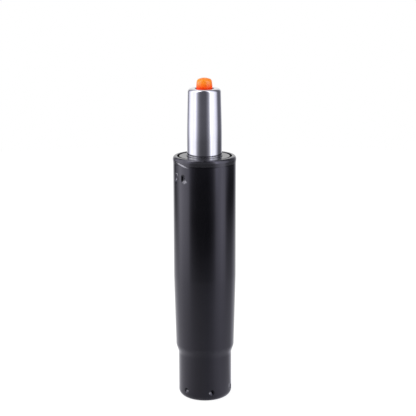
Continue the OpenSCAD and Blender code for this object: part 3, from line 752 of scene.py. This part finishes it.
def treeRibRow():
    # stands flat ribs round the axis
    sizes = {name: "Float" for name in ("Inner", "Outer", "Thick", "Low", "High")}
    g, i, o = newTree("ribRow", {"Count": "Int", **sizes})
    middle = times(g, plus(g, i["Inner"], i["Outer"]), 0.5)
    level = times(g, plus(g, i["Low"], i["High"]), 0.5)
    size = joinVector(g, minus(g, i["Outer"], i["Inner"]), i["Thick"], minus(g, i["High"], i["Low"]))
    circle = addNode(g, "GeometryNodeMeshCircle", fill_type="NONE")
    rib = addNode(g, "GeometryNodeMeshCube", meshSetup["ribVertices"])
    face = addNode(g, "FunctionNodeAlignRotationToVector", axis="X")
    stand = addNode(g, "GeometryNodeInstanceOnPoints")
    lift = addNode(g, "GeometryNodeTransform")
    join = addNode(g, "GeometryNodeJoinGeometry")
    wire(g, (i["Count"], circle.inputs["Vertices"]), (middle, circle.inputs["Radius"]),
         (size, rib.inputs["Size"]),
         (addNode(g, "GeometryNodeInputPosition").outputs[0], face.inputs["Vector"]),
         (circle.outputs["Mesh"], stand.inputs["Points"]), (rib.outputs["Mesh"], stand.inputs["Instance"]),
         (face.outputs[0], stand.inputs["Rotation"]), (stand.outputs[0], lift.inputs["Geometry"]),
         (joinVector(g, z=level), lift.inputs["Translation"]),
         (i["Geometry"], join.inputs[0]), (lift.outputs[0], join.inputs[0]))
    return endTree(g, join.outputs[0], i, o)


turnedBody, pressedMarks, ribRow = treeTurnedBody(), treePressedMarks(), treeRibRow()
print("node trees built")


def addTree(obj, tree, values):
    modifier = obj.modifiers.new(tree.name, "NODES")
    modifier.node_group = tree
    for item in tree.interface.items_tree:
        if item.item_type == "SOCKET" and item.in_out == "INPUT" and item.name in values:
            modifier[item.identifier] = values[item.name]


def makeReal(obj):
    bpy.context.view_layer.update()
    view = bpy.context.evaluated_depsgraph_get()
    mesh = bpy.data.meshes.new_from_object(obj.evaluated_get(view), preserve_all_data_layers=True,
                                           depsgraph=view)
    obj.modifiers.clear()
    obj.data = mesh
    bm = bmesh.new()
    bm.from_mesh(mesh)
    thin = [f for f in bm.faces if f.calc_area() < meshSetup["sliver"]]
    bmesh.ops.delete(bm, geom=thin, context="FACES_ONLY")
    bmesh.ops.recalc_face_normals(bm, faces=bm.faces)
    bm.to_mesh(mesh)
    bm.free()
    mesh.name = obj.name


# profile helpers, in mm: every point is (radius, height, edge shine)
cornerSetup = {
    "flat": 1e-3, "most": 0.48,         # radians; share of a side that a rounding may take
    "step": 11, "fewest": 3,            # degrees, steps
    "hold": 0.25, "holdShare": 0.3,     # the short straight beside a rounding
}


def arcOf(r, z, size, fromAngle, toAngle, steps, shine=0.0):
    points = []
    for k in range(steps + 1):
        share = k / steps
        a = math.radians(fromAngle + (toAngle - fromAngle) * share)
        points.append((r + size * math.cos(a), z + size * math.sin(a), shine * math.sin(math.pi * share)))
    return points


def roundCorner(before, corner, after, s):
    r, z, size, shine = corner
    here = Vector((r, z))
    back, ahead = Vector(before[:2]) - here, Vector(after[:2]) - here
    room = s["most"] * min(back.length, ahead.length)
    back.normalize()
    ahead.normalize()
    opening = back.angle(ahead)
    sweep = math.pi - opening
    if size <= 0 or sweep < s["flat"]:
        return [(r, z, 0.0)]
    run = min(size / math.tan(opening / 2), room)
    size = run * math.tan(opening / 2)
    middle = here + (back + ahead).normalized() * (size / math.sin(opening / 2))
    start, end = here + back * run - middle, here + ahead * run - middle
    steps = max(s["fewest"], int(math.degrees(sweep) / s["step"]))
    side = 1.0 if start.x * end.y - start.y * end.x > 0 else -1.0
    first = math.atan2(start.y, start.x)
    hold = min(s["hold"], s["holdShare"] * run)
    points = [(*(here + back * (run + hold)), 0.0)]
    for n in range(steps + 1):
        a = first + side * sweep * n / steps
        points.append((middle.x + size * math.cos(a), middle.y + size * math.sin(a),
                       shine * math.sin(math.pi * n / steps)))
    return points + [(*(here + ahead * (run + hold)), 0.0)]


def roundCorners(corners):
    # corners are (radius, height, rounding, shine) of a closed outline
    points = []
    for k, corner in enumerate(corners):
        points += roundCorner(corners[k - 1], corner, corners[(k + 1) % len(corners)], cornerSetup)
    return points


def refine(points, longest):
    # cuts the stretches that are longer than the rule allows at their middle
    fine = []
    for (r, z, shine), (r2, z2, shine2) in zip(points, points[1:]):
        most = longest((r + r2) / 2, (z + z2) / 2)
        pieces = max(1, math.ceil(math.hypot(r2 - r, z2 - z) / most))
        for n in range(pieces):
            f = n / pieces
            fine.append((r + (r2 - r) * f, z + (z2 - z) * f, shine + (shine2 - shine) * f))
    return fine + [points[-1]]


def turnPiece(name, body, slot, points, around, closed, replaces, extra=()):
    if closed:
        points = points + [points[0]]
    data = bpy.data.curves.new(name + "Profile", "CURVE")
    data.dimensions = "3D"
    line = data.splines.new("POLY")
    line.points.add(len(points) - 1)
    for spot, (r, z, shine) in zip(line.points, points):
        spot.co = (max(r, 0.0) * mm, 0.0, z * mm, 1.0)
        spot.radius = shine
    profile = bpy.data.objects.new(name + "Profile", data)
    scene.collection.objects.link(profile)
    obj = bpy.data.objects.new(name, bpy.data.meshes.new(name))
    scene.collection.objects.link(obj)
    finish = finishes[slot]
    addTree(obj, turnedBody, {"Profile": profile, "Around": around, "Rows": len(points), "Finish": finish})
    for tree, values in extra:
        addTree(obj, tree, {**values, "Finish": finish})
    makeReal(obj)
    bpy.data.objects.remove(profile)
    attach(obj, body)
    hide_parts(*replaces)
    print(name, len(obj.data.polygons), "faces")


# column: rolled foot, neck, step, taper, straight wall, rolled rim
columnSetup = {
    "height": 200.0, "radius": 24.975, "wall": 1.975, "around": 432,
    "neckRadius": 21.5, "neckHeight": 36.0, "neckMark": 12.0, "stepHeight": 9.0,
    "stepRows": (24, 10), "stepShine": 0.35,
    "taperLength": 57.0, "taperAngle": 1.4378,
    "taperStart": ((0.03, 1.0),),     # out, height over the taper's foot
    "taperEnd": ((0.0376, -1.5), (0.008, 0.0), (0.0, 1.5)),     # inset, height over the taper's top
    "footRound": 5.0, "footBore": 14.0, "footStart": 0.5, "footShine": 0.8, "hold": 0.4,
    # the bore's edge at the foot: radius over the bore, height, shine
    "footEdge": ((0.0, 0.5, 0.0), (0.15, 0.15, 0.3)), "footInside": 0.3,
    "rim": {"height": 5.0, "bore": 21.8, "bead": 0.3, "wide": 1.9, "tall": 2.6, "edge": 0.4, "rows": 16,
            # the soft flare under the rim: out, under its step; then in from the bead, under the roll
            "flare": ((0.0, 1.2), (0.0, 0.9), (0.02, 0.5)), "flareEnd": (0.02, 0.4),
            "flat": 0.3, "gap": 0.1, "boreFoot": ((0.0, 0.15), (0.12, 0.0)), "under": 0.2,
            "shine": (0.2, 0.8), "flatShine": 0.1, "edgeShine": 0.5},
    "dimples": {"count": 6, "turn": -75, "height": 8.0, "reach": 2.1, "straight": 0.0, "depth": 1.5},
    "dents": {"count": 2, "turn": -143.5, "pitch": 22, "height": 184.5, "reach": 1.9, "straight": 2.8,
              "depth": 1.3, "zone": 5.4},
    "skin": 0.9,      # how deep the outside counts as outside
    "mesh": {"dents": 0.34, "dentZone": 5.5, "dimples": 0.32, "dimpleZone": (4.0, 12.0),
             "outside": 9.0, "inside": 20.0},
}


def columnStep(s, narrow, wide, low, inset, rows):
    # the soft step from the neck to the taper's foot
    points = []
    for k in range(rows + 1):
        share = k / rows
        points.append((narrow + (wide - narrow) * (1 - math.cos(math.pi * share)) / 2 - inset,
                       low + s["stepHeight"] * share,
                       s["stepShine"] * math.sin(math.pi * max(0.0, 2 * share - 1))))
    return points


def columnRim(b, big, top):
    bead, low = big + b["bead"], top - b["height"]
    least, most = b["shine"]
    inset, under = b["flareEnd"]
    points = [(big + out, low - down, 0.0) for out, down in b["flare"]]
    points.append((bead - inset, top - b["tall"] - under, least))
    for k in range(b["rows"] + 1):
        a = math.pi / 2 * k / b["rows"]
        points.append((bead - b["wide"] * (1 - math.cos(a)), top - b["tall"] * (1 - math.sin(a)),
                       least + most * math.sin(2 * a)))
    flatEnds = (bead - b["wide"] - b["flat"], b["bore"] + b["edge"] + b["gap"])
    return points + [(r, top, b["flatShine"]) for r in flatEnds]


def pressMarks(d, turn, skin):
    values = {"Count": d["count"], "Turn": math.radians(turn), "Skin": skin * mm}
    for name in ("Height", "Reach", "Straight", "Depth"):
        values[name] = d[name.lower()] * mm
    return pressedMarks, values


def makeColumn(s):
    big, wall, top = s["radius"], s["wall"], s["height"]
    neck, low, foot, hole, hold = s["neckRadius"], s["neckHeight"], s["footRound"], s["footBore"], s["hold"]
    taperLow = low + s["stepHeight"]
    taperTop = taperLow + s["taperLength"]
    taperFoot = big - s["taperLength"] * math.tan(math.radians(s["taperAngle"]))
    b, dents, dimples, mesh = s["rim"], s["dents"], s["dimples"], s["mesh"]
    bore, edge = b["bore"], b["edge"]
    outRows, inRows = s["stepRows"]

    points = [(hole + s["footStart"], 0.0, 0.0), (neck - foot - hold, 0.0, 0.0)]
    points += arcOf(neck - foot, foot, foot, -90, 0, 12, s["footShine"])
    points += [(neck, foot + hold, 0.0), (neck, s["neckMark"], 0.0), (neck, low - 2 * hold, 0.0)]
    points += columnStep(s, neck, taperFoot, low, 0.0, outRows)
    points += [(taperFoot + out, taperLow + up, 0.0) for out, up in s["taperStart"]]
    points += [(big - inset, taperTop + past, 0.0) for inset, past in s["taperEnd"]]
    points += [(big, dents["height"] + way * dents["zone"], 0.0) for way in (-1, 1)]
    points += columnRim(b, big, top)

    # inside, from the rim down
    points += arcOf(bore + edge, top - edge, edge, 90, 180, 5, b["edgeShine"])
    points.append((bore, top - edge - b["gap"], 0.0))
    points += [(bore + out, top - wall + up, 0.0) for out, up in b["boreFoot"]]
    points += [(big - wall, top - b["height"] - b["under"], 0.0), (big - wall, taperTop, 0.0)]
    points += [(r, z, 0.0) for r, z, _ in reversed(columnStep(s, neck, taperFoot, low, wall, inRows))]
    points += reversed(arcOf(neck - foot, foot, foot - wall, -90, 0, 5))
    points += [(hole + s["footInside"], wall, 0.0), (hole, wall - s["footInside"], 0.0)]
    points += [(hole + out, z, shine) for out, z, shine in s["footEdge"]]

    def longest(r, z):
        outside = r > (neck if z < low else big) - s["skin"]
        if outside and abs(z - dents["height"]) < mesh["dentZone"]:
            return mesh["dents"]
        if outside and mesh["dimpleZone"][0] < z < mesh["dimpleZone"][1]:
            return mesh["dimples"]
        return mesh["outside"] if outside else mesh["inside"]

    marks = [pressMarks(dents, dents["turn"] + side * dents["pitch"], big - s["skin"])
             for side in (-0.5, 0.5)]
    marks.append(pressMarks(dimples, dimples["turn"], neck - s["skin"]))
    turnPiece("columnShell", "column", "column_paint", refine(points, longest), s["around"], True,
              ["column_tube"], marks)


makeColumn(columnSetup)


# guide bush: glossy head inside the rim, bands and ribs below
bushSetup = {
    "bore": 14.08, "outer": 22.9, "head": 20.15, "headTop": 199.75, "shoulder": 194.7, "length": 84.0,
    "sleeve": 16.88, "topBand": 23.0, "lowBand": 10.0, "groove": (21.7, 184.5, 4.59),
    "ribs": 8, "ribThick": 2.0,
    "ribFit": (0.3, 0.5, 0.2),     # into the sleeve, back from the outside, into the bands
    "around": 192, "longest": 12.0,
}


def makeBush(s):
    low, shoulder, outer = s["shoulder"] - s["length"], s["shoulder"], s["outer"]
    deep, mid, half = s["groove"]
    lowBand, topBand = low + s["lowBand"], shoulder - s["topBand"]
    corners = [
        (s["bore"], low, 0.4, 0.3), (outer, low, 0.4, 0.3), (outer, lowBand, 0.3, 0.3),
        (s["sleeve"], lowBand, 0.6, 0.0), (s["sleeve"], topBand, 0.6, 0.0),
        (outer, topBand, 0.3, 0.3), (outer, mid - half, 0.2, 0.2),
        (deep, mid - half, 0.2, 0.0), (deep, mid + half, 0.2, 0.0), (outer, mid + half, 0.2, 0.2),
        (outer, shoulder, 0.4, 0.3), (s["head"], shoulder, 0.3, 0.0),
        (s["head"], s["headTop"], 0.3, 1.0), (s["bore"], s["headTop"], 0.8, 0.8)]
    points = refine(roundCorners(corners), lambda r, z: s["longest"])
    inside, back, into = s["ribFit"]
    ribs = {"Count": s["ribs"], "Inner": (s["sleeve"] - inside) * mm, "Outer": (outer - back) * mm,
            "Thick": s["ribThick"] * mm, "Low": (lowBand - into) * mm, "High": (topBand + into) * mm}
    turnPiece("guideBush", "column", "bush_plastic", points, s["around"], True, ["guide_bush"],
              [(ribRow, ribs)])


makeBush(bushSetup)


# pressure tube: chrome, tapered at its top, rolled in at both ends
tubeSetup = {
    "radius": 13.9, "wall": 1.4, "taper": 32.7, "taperAngle": 1.4378, "round": 2.7,
    "blend": 560.0,     # radius in which the taper starts
    "topBore": 7.6, "lowBore": 8.0, "around": 224, "longest": 10.0,
}


def makeTube(s):
    low, top = (v.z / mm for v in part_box("pressure_tube"))
    big, wall, turn = s["radius"], s["wall"], s["round"]
    narrow, taperLow = big - s["taper"] * math.tan(math.radians(s["taperAngle"])), top - s["taper"]
    corners = [
        (s["lowBore"], low, 0.3, 0.2), (big, low, turn, 0.4), (big, taperLow, s["blend"], 0.0),
        (narrow, top, turn, 0.8), (s["topBore"], top, 0.45, 0.8), (s["topBore"], top - wall, 0.2, 0.0),
        (narrow - wall, top - wall, turn - wall, 0.0), (big - wall, taperLow, s["blend"], 0.0),
        (big - wall, low + wall, turn - wall, 0.0), (s["lowBore"], low + wall, 0.2, 0.0)]
    points = refine(roundCorners(corners), lambda r, z: s["longest"])
    turnPiece("pressureTube", "gas_cylinder", "tube_chrome", points, s["around"], True, ["pressure_tube"])


makeTube(tubeSetup)


# valve cap: the dark ring round the button
capSetup = {
    "hole": 2.7, "outer": 11.5, "guide": 6.5, "bevel": 1.3, "floor": 2.0, "around": 128, "longest": 6.0,
}


def makeCap(s):
    low, high = (v.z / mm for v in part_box("valve_cap"))
    floor = low + s["floor"]
    corners = [
        (s["hole"], low, 0.15, 0.0), (s["outer"], low, 0.3, 0.0), (s["outer"], high - s["bevel"], 0.3, 0.0),
        (s["outer"] - s["bevel"], high, 0.3, 0.0), (s["guide"], high, 0.45, 0.6),
        (s["guide"], floor, 0.3, 0.0), (s["hole"], floor, 0.15, 0.0)]
    points = refine(roundCorners(corners), lambda r, z: s["longest"])
    turnPiece("valveCap", "gas_cylinder", "cap_plastic", points, s["around"], True, ["valve_cap"])


makeCap(capSetup)


# release button: slight draft, rounded edge, low dome, open below for the pin
buttonSetup = {
    "drop": 0.35, "radius": 6.46, "draft": 0.3, "round": 3.0, "roundTo": 84, "roundRows": 14, "dome": 0.6,
    "domeRows": 10, "inside": 5.0, "socket": 2.55, "socketTop": 7.25, "bevel": 0.2, "edgeShine": 0.9,
    "sideEnd": (0.28, 0.3),     # inset, under the rounding
    "lowEdge": ((0.45, 0.0, 0.0), (0.12, 0.1, 0.2), (0.0, 0.4, 0.0)),     # inset, height, shine
    "around": 128, "longest": 1.2,
}


def makeButton(s):
    low, high = (v.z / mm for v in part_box("release_button"))
    high -= s["drop"]
    sideTop = high - s["dome"] - s["round"]
    radius, socket, socketTop = s["radius"], s["socket"], low + s["socketTop"]
    points = [(0.0, socketTop, 0.0), (socket, socketTop, 0.0), (socket, low + s["bevel"], 0.0),
              (socket + s["bevel"], low, 0.0)]
    points += [(radius - inset, low + up, shine) for inset, up, shine in s["lowEdge"]]
    draft, down = s["sideEnd"]
    points += [(radius, low + s["inside"], 0.0), (radius - draft, sideTop - down, 0.0)]
    crown = radius - s["draft"] - s["round"]
    points += arcOf(crown, sideTop, s["round"], 0, s["roundTo"], s["roundRows"], s["edgeShine"])
    edgeR, edgeZ, _ = points[-1]
    for k in range(1, s["domeRows"] + 1):
        share = k / s["domeRows"]
        points.append((edgeR * (1 - share), edgeZ + (high - edgeZ) * (1 - (1 - share) ** 2), 0.0))
    points = refine(points, lambda r, z: s["longest"])
    turnPiece("releaseButton", "release", "button_plastic", points, s["around"], False, ["release_button"])


makeButton(buttonSetup)
